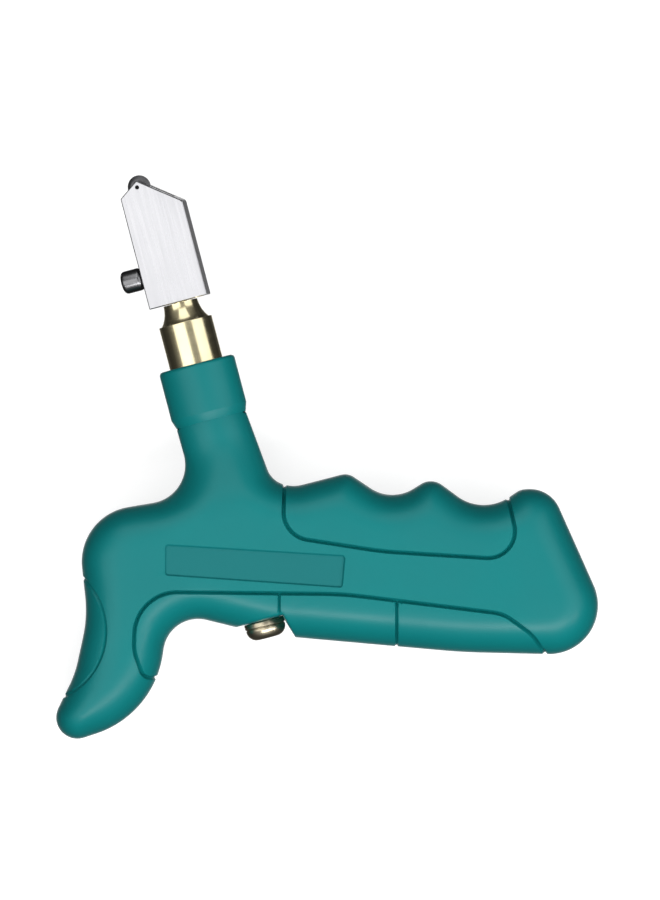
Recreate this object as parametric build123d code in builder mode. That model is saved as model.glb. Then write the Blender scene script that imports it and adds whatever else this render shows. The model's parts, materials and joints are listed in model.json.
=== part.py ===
"""Pistol-grip oil-feed glass cutter, lying on its right side.

X runs from the beak to the heel of the handle, Y runs from the handle up to
the cutting wheel, and Z is the thickness.  Z = 0 is the outer face of the
right shell.  The barrel leans back from Y, and everything oily sits on it.
"""
import os
from math import cos, radians, sin

from build123d import *

os.makedirs("parts", exist_ok=True)

# ---------------------------------------------------------------- handle
THICK = 26.0            # across both shells
MID = THICK / 2         # the parting plane
RIM = 3.5               # rolled edge of the handle
WALL = 5.2              # outline to cavity
FACE_WALL = 4.4         # outer face to cavity
SKIN = 2.4              # depth of the grip pads
SEAM = 0.8              # groove round each pad
LEAN = 14.7             # barrel angle from Y
HANDLE_TOP = 60.0       # where the outline is left open, above the nose
OUT = 90.0              # well outside the handle

# ---------------------------------------------------------------- barrel
NECK_R = 8.4
NECK_ROOT = 20.6
NECK_BLEND = 7.0
NECK_END = 35.2
NOSE_R = 7.6
NOSE_END = 46.0
BORE_R = 6.45
COLLAR_R = 9.1
COLLAR_TOP = 48.9
COLLAR_BAND = 2.1
GLAND = 0.05            # slack between turned pieces in one body

# ---------------------------------------------------------------- oil parts
TUBE_R = 6.4
TUBE_IN = 4.6
TUBE_FOOT = -9.0
TUBE_TOP = 44.0
SPOUT_R = 4.0
SPOUT_IN = 3.0
SEAT = -13.4            # where the filler cap seats
SHANK_R = 5.4
SHANK_FOOT = 32.2
GASKET = 1.2
FERRULE_SHOULDER = 59.1
FERRULE_TIP = 63.75
TIP_R = 4.1
CHAMBER_R = 3.6
CHAMBER_TOP = 58.0
CHAMBER_FOOT = 45.0
FEED_R = 2.6
STEM_R = 1.6
STEM_SLIP = 0.05
STEM_TOP = 75.5
STEM_TAIL = 49.0
OIL_R = 0.6
FLANGE_R = 3.2
FLANGE = 2.2
SEAL_THICK = 0.9
STOP_GAP = 0.1
WIRE_R = 0.35
SPRING_R = 2.6
SPRING_TURNS = 6
WICK_FOOT = 14.0
WICK_TOP = 73.0

# ---------------------------------------------------------------- filler cap
CAP_R = 4.8
CAP_LONG = 4.2
CAP_ROUND = 2.0
CAP_SHANK_R = 2.7
CAP_SHANK = 2.8
CAP_CLEAR = 0.35
GRIP_LINE = 1.5         # from the top of the cap to its groove
GRIP_LINE_R = 0.2
RING_OUT = 3.7
RING_THICK = 0.6

# ---------------------------------------------------------------- head
SWIVEL = 11.5           # the head is turned this far round the barrel
HEAD_HALF = 7.1
HEAD_THICK = 5.0
HEAD_FOOT = 63.9
HEAD_EDGE = 0.25
HEAD_RIGHT = 86.8
HEAD_LEFT = 90.8
HEAD_APEX_V = -2.35
HEAD_APEX_U = 94.0
SLOT = 1.5
SLOT_LEFT = 87.0
SLOT_RIGHT = 88.6
BORE_TOP = 76.2
WHEEL_R = 2.8
WHEEL_THICK = 0.9
WHEEL_FLAT_R = 1.9
WHEEL_V = -2.5
WHEEL_U = 92.45
AXLE_R = 0.5
AXLE_SLIP = 0.05
AXLE_LONG = 4.6
SCREW_U = 71.5
SCREW_R = 2.7
SCREW_IN = 7.2
SCREW_OUT = 12.2
SCREW_SHANK_R = 1.3
DOG_R = 0.9
DOG_TIP = 1.2
GROOVE_R = 0.95
GROOVE_HALF = 1.2
GROOVE_ARC = 116.0
THREAD_SLIP = 0.3
HEX = 1.5
HEX_DEEP = 1.8

# ---------------------------------------------------------------- shell screws
SCREW_SPOTS = [(-30.0, 3.5), (-37.0, -33.0), (28.0, -1.5), (53.0, -4.0), (71.0, 4.0)]
BOSS_R = 3.6
TAP_R = 1.3
HEAD_R = 2.5
HEAD_SINK = 2.0
HEAD_TALL = 2.2
TAP_LONG = 15.0

# ---------------------------------------------------------------- label recess
LABEL = [(-19.6, 5.0), (22.7, 2.4), (22.0, -5.3), (-19.7, -2.4)]
LABEL_CORNER = 1.0
LABEL_DEEP = 0.5

C, S = cos(radians(LEAN)), sin(radians(LEAN))
ACROSS = Vector(C, S, 0)
ALONG = Vector(-S, C, 0)


def on_barrel(across, along, height=0.0):
    """A point given across and along the barrel axis."""
    return ACROSS * across + ALONG * along + Vector(0, 0, height)


AXIS = Axis((0, 0, MID), ALONG)


def spun(angle):
    """The plane across and along the barrel, turned about its axis."""
    across = ACROSS.rotate(Axis((0, 0, 0), ALONG), angle)
    return Plane(origin=(0, 0, MID), x_dir=across, z_dir=across.cross(ALONG))


BARREL = spun(0)
HEAD = spun(-SWIVEL)
HEAD_ACROSS = HEAD.x_dir
HEAD_FRONT = HEAD.z_dir
FLOOR_BARREL = Plane(origin=(0, 0, 0), x_dir=ACROSS, z_dir=(0, 0, 1))

# corner points of the handle, each with the radius that rounds it
HANDLE = [
    ((-12.7, 16.3), 9.0),       # web in front of the neck
    ((-40.6, 11.5), 13.0),      # brow
    ((-38.0, -12.1), 30.0),     # thumb rest
    ((-40.9, -25.5), 25.0),
    ((-50.0, -44.3), 5.0),      # beak
    ((-22.5, -35.2), 23.0),     # belly of the beak
    ((-18.7, -10.8), 8.2),      # trigger finger crook
    ((4.0, -16.4), 60.0),
    ((50.0, -20.5), 150.0),
    ((88.4, -21.4), 11.5),      # heel
    ((70.7, 18.2), 7.5),        # hump behind the last finger
    ((63.7, 17.7), 4.0),
    ((54.9, 11.7), 10.5),       # last finger
    ((42.9, 20.6), 4.4),        # ridge between fingers
    ((33.5, 14.7), 9.3),        # middle finger
    ((23.2, 21.6), 3.7),        # ridge before the first finger
    ((10.4, 18.3), 7.7),
    ((5.3, 19.7), 5.7),         # web behind the neck
]
FINGER_SEAM = [((7.9, 6.9), 6.5), ((31.0, 3.3), 80.0), ((63.9, 1.2), 6.3)]
FINGER_ENDS = ((9.2, 40.0), (55.4, 40.0))
LOWER_SEAM = [
    ((-24.6, -26.5), 2.5),
    ((-26.9, -20.0), 10.0),
    ((-26.5, -6.2), 10.0),
    ((22.0, -6.7), 90.0),
    ((59.5, -11.3), 9.0),
    ((66.3, -16.2), 12.0),
]
LOWER_ENDS = ((-12.0, -26.3), (72.5, -25.4))
LOWER_BASE = -40.0
THUMB_TOP = (-38.5, -3.1)
THUMB_MID = (-33.4, -14.2)
THUMB_END = (-42.5, -30.0)
THUMB_OUT = -60.0
FIRST_CUT = 7.1         # between the trigger pad and the pad behind it
SECOND_CUT = 34.6       # between the two lower pads
NOTCH_FOOT = -23.0
NOTCH = [(-12.0, SEAT), (4.55, SEAT), (7.1, NOTCH_FOOT), (-12.0, NOTCH_FOOT)]
RIBS = [-4.0, 9.0]
RIB_THICK = 2.5
RIB_REACH = 15.0
ROOF = 18.0             # the hollow stops here, below the neck
FOOT_WALL = 2.2         # under the foot of the reservoir
TUBE_FLOOR = -7.0
COLLAR_ROUND = 0.9
CONE_R = 5.8
CONE_MID = (4.6, 61.1)
SCREW_EDGE = 0.7
CROSS_LONG = 3.0
CROSS_WIDE = 0.7
CROSS_DEEP = 1.2
HEAD_SLACK = 0.3
STAND = (Align.CENTER, Align.CENTER, Align.MIN)


def draw_handle():
    """Closed outline of the handle, with the neck left running upwards."""
    left = on_barrel(-NECK_R, HANDLE_TOP)
    right = on_barrel(NECK_R, HANDLE_TOP)
    corners = [point for point, radius in HANDLE]
    FilletPolyline(left, *corners, right, radius=[radius for point, radius in HANDLE])
    Line(right, left)


def turn(*points, plane=BARREL, axis=AXIS, mode=Mode.ADD, arc=360):
    """Revolve a profile given as (radius, distance along the barrel)."""
    with BuildSketch(plane) as profile:
        with BuildLine():
            Polyline(*points, close=True)
        make_face()
    revolve(profile.sketch, axis=axis, mode=mode, revolution_arc=arc)


def rod(radius, foot, top, mode=Mode.ADD):
    """A plain cylinder on the barrel axis."""
    turn((0, foot), (radius, foot), (radius, top), (0, top), mode=mode)


def inset(radius, corners, ends, closing):
    """An open seam, closed outside the handle."""
    with BuildLine() as seam:
        FilletPolyline(
            ends[0], *[point for point, size in corners], ends[1],
            radius=[size for point, size in corners],
        )
        Polyline(ends[1], *closing, ends[0])
    make_face(seam.line)
    if radius:
        offset(amount=-radius, kind=Kind.INTERSECTION, mode=Mode.REPLACE)


# ---------------------------------------------------------------- solid form
with BuildPart() as form:
    with BuildSketch():
        with BuildLine():
            draw_handle()
        make_face()
    extrude(amount=THICK)
    faces_low_high = form.faces().sort_by(Axis.Z)
    rims = [
        edge
        for face in (faces_low_high[0], faces_low_high[-1])
        for edge in face.edges()
        if edge.distance_to(on_barrel(0, HANDLE_TOP, face.center().Z)) > GLAND
    ]
    fillet(rims, radius=RIM)
    with BuildSketch(BARREL):
        with BuildLine():
            FilletPolyline(
                (0, NOSE_END), (NOSE_R, NOSE_END), (NOSE_R, NECK_END), (NECK_R, NECK_END),
                (NECK_R, NECK_ROOT), (OUT, NECK_ROOT), (OUT, -OUT),
                radius=[0, 0, 0, NECK_BLEND, 0],
            )
            Polyline((OUT, -OUT), (0, -OUT), (0, NOSE_END))
        make_face()
    revolve(axis=AXIS, mode=Mode.INTERSECT)
    # the notch that the filler cap stands in
    with BuildSketch(FLOOR_BARREL):
        with BuildLine():
            Polyline(*NOTCH, close=True)
        make_face()
    extrude(amount=THICK, mode=Mode.SUBTRACT)
    rod(CAP_R + CAP_CLEAR, NOTCH_FOOT, SEAT, mode=Mode.SUBTRACT)
    rod(SPOUT_R + GLAND, SEAT, TUBE_FOOT, mode=Mode.SUBTRACT)

# what is left under the grip pads
with BuildPart() as core:
    with BuildSketch(Plane.XY.offset(SKIN)):
        with BuildLine():
            draw_handle()
        make_face()
        offset(amount=-SKIN, kind=Kind.INTERSECTION)
    extrude(amount=THICK - 2 * SKIN)
    with BuildSketch(FLOOR_BARREL):
        with BuildLine():
            Polyline(*NOTCH, close=True)
        make_face()
        offset(amount=SKIN, kind=Kind.INTERSECTION)
    extrude(amount=THICK, mode=Mode.SUBTRACT)

# ---------------------------------------------------------------- grip pads
def lower_zone(spread, low, high):
    """Part of the lower grip strip between two places along X."""
    inset(spread, LOWER_SEAM, LOWER_ENDS, [(LOWER_ENDS[1][0], LOWER_BASE), (LOWER_ENDS[0][0], LOWER_BASE)])
    with Locations(((low + high) / 2, LOWER_BASE / 2)):
        Rectangle(high - low, 2 * OUT, mode=Mode.INTERSECT)


def finger_zone(spread):
    """The grip under the fingers."""
    inset(spread, FINGER_SEAM, FINGER_ENDS, [])


def thumb_zone(spread):
    """The rest in front of the thumb."""
    with BuildLine() as seam:
        ThreePointArc(THUMB_TOP, THUMB_MID, THUMB_END)
        Polyline(THUMB_END, (THUMB_OUT, THUMB_END[1]), (THUMB_OUT, THUMB_TOP[1]), THUMB_TOP)
    make_face(seam.line)
    if spread:
        offset(amount=-spread, kind=Kind.INTERSECTION)


def on_skin(piece_zone, *where):
    """Outer layer of the handle inside a zone."""
    with BuildSketch() as zone:
        piece_zone(*where)
    extrude(zone.sketch, amount=THICK)
    add(form.part, mode=Mode.INTERSECT)
    add(core.part, mode=Mode.SUBTRACT)


with BuildPart() as finger_grip:
    on_skin(finger_zone, SEAM / 2)
finger_grip.part.label = "finger_grip"
export_step(finger_grip.part, "parts/finger_grip.step")

with BuildPart() as thumb_pad:
    on_skin(thumb_zone, SEAM / 2)
thumb_pad.part.label = "thumb_pad"
export_step(thumb_pad.part, "parts/thumb_pad.step")

with BuildPart() as trigger_pad:
    on_skin(lower_zone, SEAM / 2, -OUT, FIRST_CUT - SEAM / 2)
trigger_pad.part.label = "trigger_pad"
export_step(trigger_pad.part, "parts/trigger_pad.step")

with BuildPart() as lower_pad_front:
    on_skin(lower_zone, SEAM / 2, FIRST_CUT + SEAM / 2, SECOND_CUT - SEAM / 2)
lower_pad_front.part.label = "lower_pad_front"
export_step(lower_pad_front.part, "parts/lower_pad_front.step")

with BuildPart() as lower_pad_rear:
    on_skin(lower_zone, SEAM / 2, SECOND_CUT + SEAM / 2, OUT)
lower_pad_rear.part.label = "lower_pad_rear"
export_step(lower_pad_rear.part, "parts/lower_pad_rear.step")

# ---------------------------------------------------------------- shells
with BuildPart() as pockets:
    with BuildSketch():
        finger_zone(-SEAM / 2)
        thumb_zone(-SEAM / 2)
        lower_zone(-SEAM / 2, -OUT, OUT)
    extrude(amount=THICK)
    add(core.part, mode=Mode.SUBTRACT)

with BuildPart() as hollow:
    with BuildSketch(Plane.XY.offset(FACE_WALL)):
        with BuildLine():
            draw_handle()
        make_face()
        offset(amount=-WALL, kind=Kind.INTERSECTION)
        for spot in SCREW_SPOTS:
            with Locations(spot):
                Circle(BOSS_R, mode=Mode.SUBTRACT)
    extrude(amount=THICK - 2 * FACE_WALL)
    with BuildSketch(FLOOR_BARREL):
        with BuildLine():
            Polyline(*NOTCH, close=True)
        make_face()
        offset(amount=SKIN + FOOT_WALL, kind=Kind.INTERSECTION)
        with Locations((0, ROOF + OUT / 2)):
            Rectangle(OUT, OUT)
        for along in RIBS:
            with Locations((0, along)):
                Rectangle(2 * RIB_REACH, RIB_THICK)
    extrude(amount=THICK, mode=Mode.SUBTRACT)
    rod(BORE_R, TUBE_FOOT, NOSE_END)

with BuildPart() as body:
    add(form.part)
    add(pockets.part, mode=Mode.SUBTRACT)
    add(hollow.part, mode=Mode.SUBTRACT)
    with BuildSketch(Plane.XY.offset(THICK - LABEL_DEEP)):
        with BuildLine():
            FilletPolyline(*LABEL, radius=LABEL_CORNER, close=True)
        make_face()
    extrude(amount=LABEL_DEEP, mode=Mode.SUBTRACT)
    with Locations([(x, y, 0) for x, y in SCREW_SPOTS]):
        Cylinder(HEAD_R + HEAD_SLACK, HEAD_SINK + HEAD_TALL, align=STAND, mode=Mode.SUBTRACT)
        Cylinder(TAP_R + HEAD_SLACK, MID, align=STAND, mode=Mode.SUBTRACT)
        Cylinder(TAP_R, HEAD_SINK + HEAD_TALL + TAP_LONG, align=STAND, mode=Mode.SUBTRACT)

with BuildPart() as left_shell:
    add(body.part)
    split(bisect_by=Plane.XY.offset(MID), keep=Keep.TOP)
left_shell.part.label = "left_shell"
export_step(left_shell.part, "parts/left_shell.step")

with BuildPart() as right_shell:
    add(body.part)
    split(bisect_by=Plane.XY.offset(MID), keep=Keep.BOTTOM)
right_shell.part.label = "right_shell"
export_step(right_shell.part, "parts/right_shell.step")

with BuildPart() as muzzle_collar:
    turn(
        (NOSE_R + GLAND, NECK_END), (NECK_R, NECK_END), (COLLAR_R, NECK_END + COLLAR_BAND),
        (COLLAR_R, COLLAR_TOP), (BORE_R, COLLAR_TOP), (BORE_R, NOSE_END + GLAND),
        (NOSE_R + GLAND, NOSE_END + GLAND),
    )
    widest = muzzle_collar.edges().filter_by(GeomType.CIRCLE).group_by(SortBy.RADIUS)[-1]
    fillet(widest.sort_by(Axis.Y)[-1], radius=COLLAR_ROUND)
muzzle_collar.part.label = "muzzle_collar"
export_step(muzzle_collar.part, "parts/muzzle_collar.step")

# ---------------------------------------------------------------- shell screws
for number, (x, y) in enumerate(SCREW_SPOTS, start=1):
    with BuildPart() as shell_screw:
        with Locations((x, y, HEAD_SINK)):
            Cylinder(HEAD_R, HEAD_TALL, align=STAND)
            Cylinder(TAP_R, HEAD_TALL + TAP_LONG, align=STAND)
            Box(CROSS_LONG, CROSS_WIDE, 2 * CROSS_DEEP, mode=Mode.SUBTRACT)
            Box(CROSS_WIDE, CROSS_LONG, 2 * CROSS_DEEP, mode=Mode.SUBTRACT)
    shell_screw.part.label = f"shell_screw_{number}"
    export_step(shell_screw.part, f"parts/shell_screw_{number}.step")

# ---------------------------------------------------------------- oil supply
with BuildPart() as reservoir_tube:
    turn(
        (SPOUT_IN, SEAT), (SPOUT_R, SEAT), (SPOUT_R, TUBE_FOOT), (TUBE_R, TUBE_FOOT),
        (TUBE_R, TUBE_TOP), (SHANK_R + GLAND, TUBE_TOP), (SHANK_R + GLAND, SHANK_FOOT - GASKET),
        (TUBE_IN, SHANK_FOOT - GASKET), (TUBE_IN, TUBE_FLOOR), (SPOUT_IN, TUBE_FLOOR),
    )
reservoir_tube.part.label = "reservoir_tube"
export_step(reservoir_tube.part, "parts/reservoir_tube.step")

with BuildPart() as reservoir_gasket:
    rod(SHANK_R - GLAND, SHANK_FOOT - GASKET, SHANK_FOOT)
    rod(FEED_R, SHANK_FOOT - GASKET, SHANK_FOOT, mode=Mode.SUBTRACT)
reservoir_gasket.part.label = "reservoir_gasket"
export_step(reservoir_gasket.part, "parts/reservoir_gasket.step")

with BuildPart() as ferrule:
    with BuildSketch(BARREL):
        with BuildLine():
            Polyline(
                (0, SHANK_FOOT), (SHANK_R, SHANK_FOOT), (SHANK_R, TUBE_TOP), (TUBE_R, TUBE_TOP),
                (TUBE_R, FERRULE_SHOULDER), (CONE_R, FERRULE_SHOULDER),
            )
            ThreePointArc((CONE_R, FERRULE_SHOULDER), CONE_MID, (TIP_R, FERRULE_TIP))
            Polyline((TIP_R, FERRULE_TIP), (0, FERRULE_TIP), (0, SHANK_FOOT))
        make_face()
    revolve(axis=AXIS)
    rod(STEM_R + STEM_SLIP, SHANK_FOOT, FERRULE_TIP, mode=Mode.SUBTRACT)
    rod(CHAMBER_R, CHAMBER_FOOT, CHAMBER_TOP, mode=Mode.SUBTRACT)
    rod(FEED_R, SHANK_FOOT, CHAMBER_FOOT, mode=Mode.SUBTRACT)
ferrule.part.label = "ferrule"
export_step(ferrule.part, "parts/ferrule.step")

with BuildPart() as stem_seal:
    rod(CHAMBER_R - GLAND, CHAMBER_TOP - SEAL_THICK, CHAMBER_TOP)
    rod(STEM_R + THREAD_SLIP, CHAMBER_TOP - SEAL_THICK, CHAMBER_TOP, mode=Mode.SUBTRACT)
stem_seal.part.label = "stem_seal"
export_step(stem_seal.part, "parts/stem_seal.step")

FLANGE_TOP = CHAMBER_TOP - SEAL_THICK - STOP_GAP
with BuildPart() as valve_stem:
    rod(STEM_R, STEM_TAIL, STEM_TOP)
    rod(FLANGE_R, FLANGE_TOP - FLANGE, FLANGE_TOP)
    rod(OIL_R, STEM_TAIL, STEM_TOP, mode=Mode.SUBTRACT)
    turn(
        (GROOVE_R, SCREW_U - GROOVE_HALF), (CHAMBER_R, SCREW_U - GROOVE_HALF),
        (CHAMBER_R, SCREW_U + GROOVE_HALF), (GROOVE_R, SCREW_U + GROOVE_HALF),
        plane=spun(180 - GROOVE_ARC / 2), mode=Mode.SUBTRACT, arc=GROOVE_ARC,
    )
valve_stem.part.label = "valve_stem"
export_step(valve_stem.part, "parts/valve_stem.step")

with BuildPart() as valve_spring:
    spring_long = FLANGE_TOP - FLANGE - CHAMBER_FOOT - 2 * WIRE_R
    with BuildLine() as coil:
        Helix(
            pitch=spring_long / SPRING_TURNS, height=spring_long, radius=SPRING_R,
            center=on_barrel(0, CHAMBER_FOOT + WIRE_R, MID), direction=ALONG,
        )
    with BuildSketch(Plane(origin=coil.line @ 0, z_dir=coil.line % 0)):
        Circle(WIRE_R)
    sweep()
valve_spring.part.label = "valve_spring"
export_step(valve_spring.part, "parts/valve_spring.step")

with BuildPart() as wick:
    rod(OIL_R, WICK_FOOT, WICK_TOP)
wick.part.label = "wick"
export_step(wick.part, "parts/wick.step")

# ---------------------------------------------------------------- filler cap
CAP_TOP = SEAT - STOP_GAP
CAP_END = CAP_TOP - CAP_LONG
with BuildPart() as filler_cap:
    turn(
        (0, CAP_END), (CAP_R, CAP_END), (CAP_R, CAP_TOP), (RING_OUT + GLAND, CAP_TOP),
        (RING_OUT + GLAND, CAP_TOP - RING_THICK), (CAP_SHANK_R, CAP_TOP - RING_THICK),
        (CAP_SHANK_R, CAP_TOP + CAP_SHANK), (0, CAP_TOP + CAP_SHANK),
    )
    rims = filler_cap.edges().filter_by(GeomType.CIRCLE).group_by(SortBy.RADIUS)[-1]
    fillet(rims.sort_by(Axis.Y)[0], radius=CAP_ROUND)
    with BuildSketch(BARREL) as line:
        with Locations((CAP_R, CAP_TOP - GRIP_LINE)):
            Circle(GRIP_LINE_R)
    revolve(line.sketch, axis=AXIS, mode=Mode.SUBTRACT)
filler_cap.part.label = "filler_cap"
export_step(filler_cap.part, "parts/filler_cap.step")

with BuildPart() as filler_seal:
    rod(RING_OUT, CAP_TOP - RING_THICK + GLAND, SEAT - GLAND)
    rod(CAP_SHANK_R + STEM_SLIP, CAP_TOP - RING_THICK, SEAT, mode=Mode.SUBTRACT)
filler_seal.part.label = "filler_seal"
export_step(filler_seal.part, "parts/filler_seal.step")

# ---------------------------------------------------------------- head
WHEEL_AT = Vector(0, 0, MID) + HEAD_ACROSS * WHEEL_V + ALONG * WHEEL_U
WHEEL_PLANE = Plane(origin=WHEEL_AT, x_dir=HEAD_ACROSS, z_dir=HEAD_FRONT)
WHEEL_AXIS = Axis(WHEEL_AT, HEAD_FRONT)
SIDE = Plane(origin=on_barrel(0, SCREW_U, MID), x_dir=ALONG, z_dir=-HEAD_ACROSS)

with BuildPart() as head_block:
    with BuildSketch(HEAD):
        with BuildLine():
            Polyline(
                (-HEAD_HALF, HEAD_FOOT), (HEAD_HALF, HEAD_FOOT), (HEAD_HALF, HEAD_RIGHT),
                (HEAD_APEX_V, HEAD_APEX_U), (-HEAD_HALF, HEAD_LEFT), close=True,
            )
        make_face()
    extrude(amount=HEAD_THICK / 2, both=True)
    chamfer(head_block.edges(), length=HEAD_EDGE)
    with BuildSketch(HEAD):
        with BuildLine():
            Polyline(
                (-HEAD_HALF - SLOT, SLOT_LEFT), (HEAD_HALF, SLOT_RIGHT),
                (HEAD_HALF, HEAD_APEX_U + SLOT), (-HEAD_HALF - SLOT, HEAD_APEX_U + SLOT), close=True,
            )
        make_face()
    extrude(amount=SLOT / 2, both=True, mode=Mode.SUBTRACT)
    with BuildSketch(WHEEL_PLANE):
        Circle(AXLE_R)
    extrude(amount=HEAD_THICK, both=True, mode=Mode.SUBTRACT)
    rod(STEM_R + STEM_SLIP, HEAD_FOOT, BORE_TOP, mode=Mode.SUBTRACT)
    rod(OIL_R, HEAD_FOOT, HEAD_RIGHT + SLOT, mode=Mode.SUBTRACT)
    with BuildSketch(SIDE):
        Circle(SCREW_SHANK_R + THREAD_SLIP)
    extrude(amount=HEAD_HALF, mode=Mode.SUBTRACT)
head_block.part.label = "head_block"
export_step(head_block.part, "parts/head_block.step")

with BuildPart() as head_lock_screw:
    with BuildSketch(SIDE.offset(DOG_TIP)):
        Circle(DOG_R)
    extrude(amount=SCREW_IN - DOG_TIP)
    with BuildSketch(SIDE.offset(STEM_R + THREAD_SLIP)):
        Circle(SCREW_SHANK_R)
    extrude(amount=SCREW_IN - STEM_R - THREAD_SLIP)
    with BuildSketch(SIDE.offset(SCREW_IN)):
        Circle(SCREW_R)
    extrude(amount=SCREW_OUT - SCREW_IN)
    rounds = head_lock_screw.edges().filter_by(GeomType.CIRCLE).group_by(SortBy.RADIUS)
    fillet(rounds[-1], radius=SCREW_EDGE)
    with BuildSketch(SIDE.offset(SCREW_OUT - HEX_DEEP)):
        RegularPolygon(HEX, 6)
    extrude(amount=HEX_DEEP, mode=Mode.SUBTRACT)
head_lock_screw.part.label = "head_lock_screw"
export_step(head_lock_screw.part, "parts/head_lock_screw.step")

with BuildPart() as cutting_wheel:
    with BuildSketch(Plane(origin=WHEEL_AT, x_dir=HEAD_ACROSS, z_dir=-ALONG)):
        with BuildLine():
            Polyline(
                (AXLE_R + AXLE_SLIP, -WHEEL_THICK / 2), (WHEEL_FLAT_R, -WHEEL_THICK / 2), (WHEEL_R, 0),
                (WHEEL_FLAT_R, WHEEL_THICK / 2), (AXLE_R + AXLE_SLIP, WHEEL_THICK / 2), close=True,
            )
        make_face()
    revolve(axis=WHEEL_AXIS)
cutting_wheel.part.label = "cutting_wheel"
export_step(cutting_wheel.part, "parts/cutting_wheel.step")

with BuildPart() as wheel_axle:
    with BuildSketch(WHEEL_PLANE):
        Circle(AXLE_R)
    extrude(amount=AXLE_LONG / 2, both=True)
wheel_axle.part.label = "wheel_axle"
export_step(wheel_axle.part, "parts/wheel_axle.step")
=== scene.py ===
"""Pistol-grip oil-feed glass cutter: the visual model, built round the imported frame.

Shapes are worked out in millimetres in the frame's own axes and turned into
metres once, when a mesh is made.
"""

import json
import math

import bmesh
import bpy
import numpy as np
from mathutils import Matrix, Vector
from mathutils.geometry import delaunay_2d_cdt


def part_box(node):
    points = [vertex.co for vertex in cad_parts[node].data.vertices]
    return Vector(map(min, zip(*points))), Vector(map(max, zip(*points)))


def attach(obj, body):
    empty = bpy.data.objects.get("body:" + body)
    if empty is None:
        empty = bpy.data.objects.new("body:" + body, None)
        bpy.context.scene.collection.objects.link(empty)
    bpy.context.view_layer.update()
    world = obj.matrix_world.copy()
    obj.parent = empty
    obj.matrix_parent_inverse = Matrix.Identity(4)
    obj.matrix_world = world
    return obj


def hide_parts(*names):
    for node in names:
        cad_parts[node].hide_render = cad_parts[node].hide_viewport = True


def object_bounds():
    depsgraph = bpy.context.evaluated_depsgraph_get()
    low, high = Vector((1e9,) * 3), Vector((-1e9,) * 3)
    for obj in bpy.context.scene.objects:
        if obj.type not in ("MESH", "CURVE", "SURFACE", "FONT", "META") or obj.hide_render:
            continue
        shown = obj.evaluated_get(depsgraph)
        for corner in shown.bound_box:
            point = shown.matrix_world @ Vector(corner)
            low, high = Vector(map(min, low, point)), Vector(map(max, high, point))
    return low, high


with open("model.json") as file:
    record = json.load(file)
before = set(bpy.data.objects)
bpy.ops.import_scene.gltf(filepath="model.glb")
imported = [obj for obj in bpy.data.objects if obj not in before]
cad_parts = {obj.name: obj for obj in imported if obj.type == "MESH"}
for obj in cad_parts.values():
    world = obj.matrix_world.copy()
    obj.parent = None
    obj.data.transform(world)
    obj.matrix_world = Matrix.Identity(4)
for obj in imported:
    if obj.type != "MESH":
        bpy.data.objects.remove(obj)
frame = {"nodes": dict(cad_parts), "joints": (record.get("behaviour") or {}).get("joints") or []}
CAD_LOW, CAD_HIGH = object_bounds()

MM = 0.001
JOINTS = {joint["name"]: joint for joint in frame["joints"]}
ALONG = Vector(JOINTS["head_swivel"]["axis"]).normalized()
MID = (CAD_LOW.z + CAD_HIGH.z) / 2 / MM
HALF = (CAD_HIGH.z - CAD_LOW.z) / 2 / MM
UP = Vector((0, 0, 1))
SIDEWAYS = Vector((1, 0, 0))
ACROSS = ALONG.cross(UP)
AXIS_POINT = Vector((0, 0, MID))
WHEEL_AT = Vector(JOINTS["wheel_spin"]["pos_m"]) / MM
HEAD_FRONT = Vector(JOINTS["wheel_spin"]["axis"]).normalized()
HEAD_ACROSS = ALONG.cross(HEAD_FRONT)

# ---------------------------------------------------------------- handle outline
# corner points, each with the radius that rounds it, as the CAD handle has them
HANDLE = [
    ((-12.7, 16.3), 9.0),       # web in front of the neck
    ((-40.6, 11.5), 13.0),      # brow
    ((-38.0, -12.1), 30.0),     # thumb rest
    ((-40.9, -25.5), 25.0),
    ((-50.0, -44.3), 5.0),      # beak
    ((-22.5, -35.2), 23.0),     # belly of the beak
    ((-18.7, -10.8), 8.2),      # trigger finger crook
    ((4.0, -16.4), 60.0),
    ((50.0, -20.5), 150.0),
    ((88.4, -21.4), 11.5),      # heel
    ((70.7, 18.2), 7.5),        # hump behind the last finger
    ((63.7, 17.7), 4.0),
    ((54.9, 11.7), 10.5),       # last finger
    ((42.9, 20.6), 4.4),        # ridge between fingers
    ((33.5, 14.7), 9.3),        # middle finger
    ((23.2, 21.6), 3.7),        # ridge before the first finger
    ((10.4, 18.3), 7.7),
    ((5.3, 19.7), 5.7),         # web behind the neck
]
NECK_R = 8.4
NECK_END = 35.2
NOSE_R = 7.6
NOSE_END = 46.0
NOTCH_SEAT = -13.4
NOTCH = [(-12.0, NOTCH_SEAT), (4.55, NOTCH_SEAT), (7.1, -23.0), (-12.0, -23.0)]

FINGER_SEAM = [
    ((9.2, 40.0), 0),
    ((7.9, 6.9), 6.5),
    ((31.0, 3.3), 80.0),
    ((63.9, 1.2), 6.3),
    ((55.4, 40.0), 0),
]
LOWER_SEAM = [
    ((-12.0, -26.3), 0),
    ((-24.6, -26.5), 2.5),
    ((-26.9, -20.0), 10.0),
    ((-26.5, -6.2), 10.0),
    ((22.0, -6.7), 90.0),
    ((59.5, -11.3), 9.0),
    ((66.3, -16.2), 12.0),
    ((72.5, -25.4), 0),
]
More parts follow.
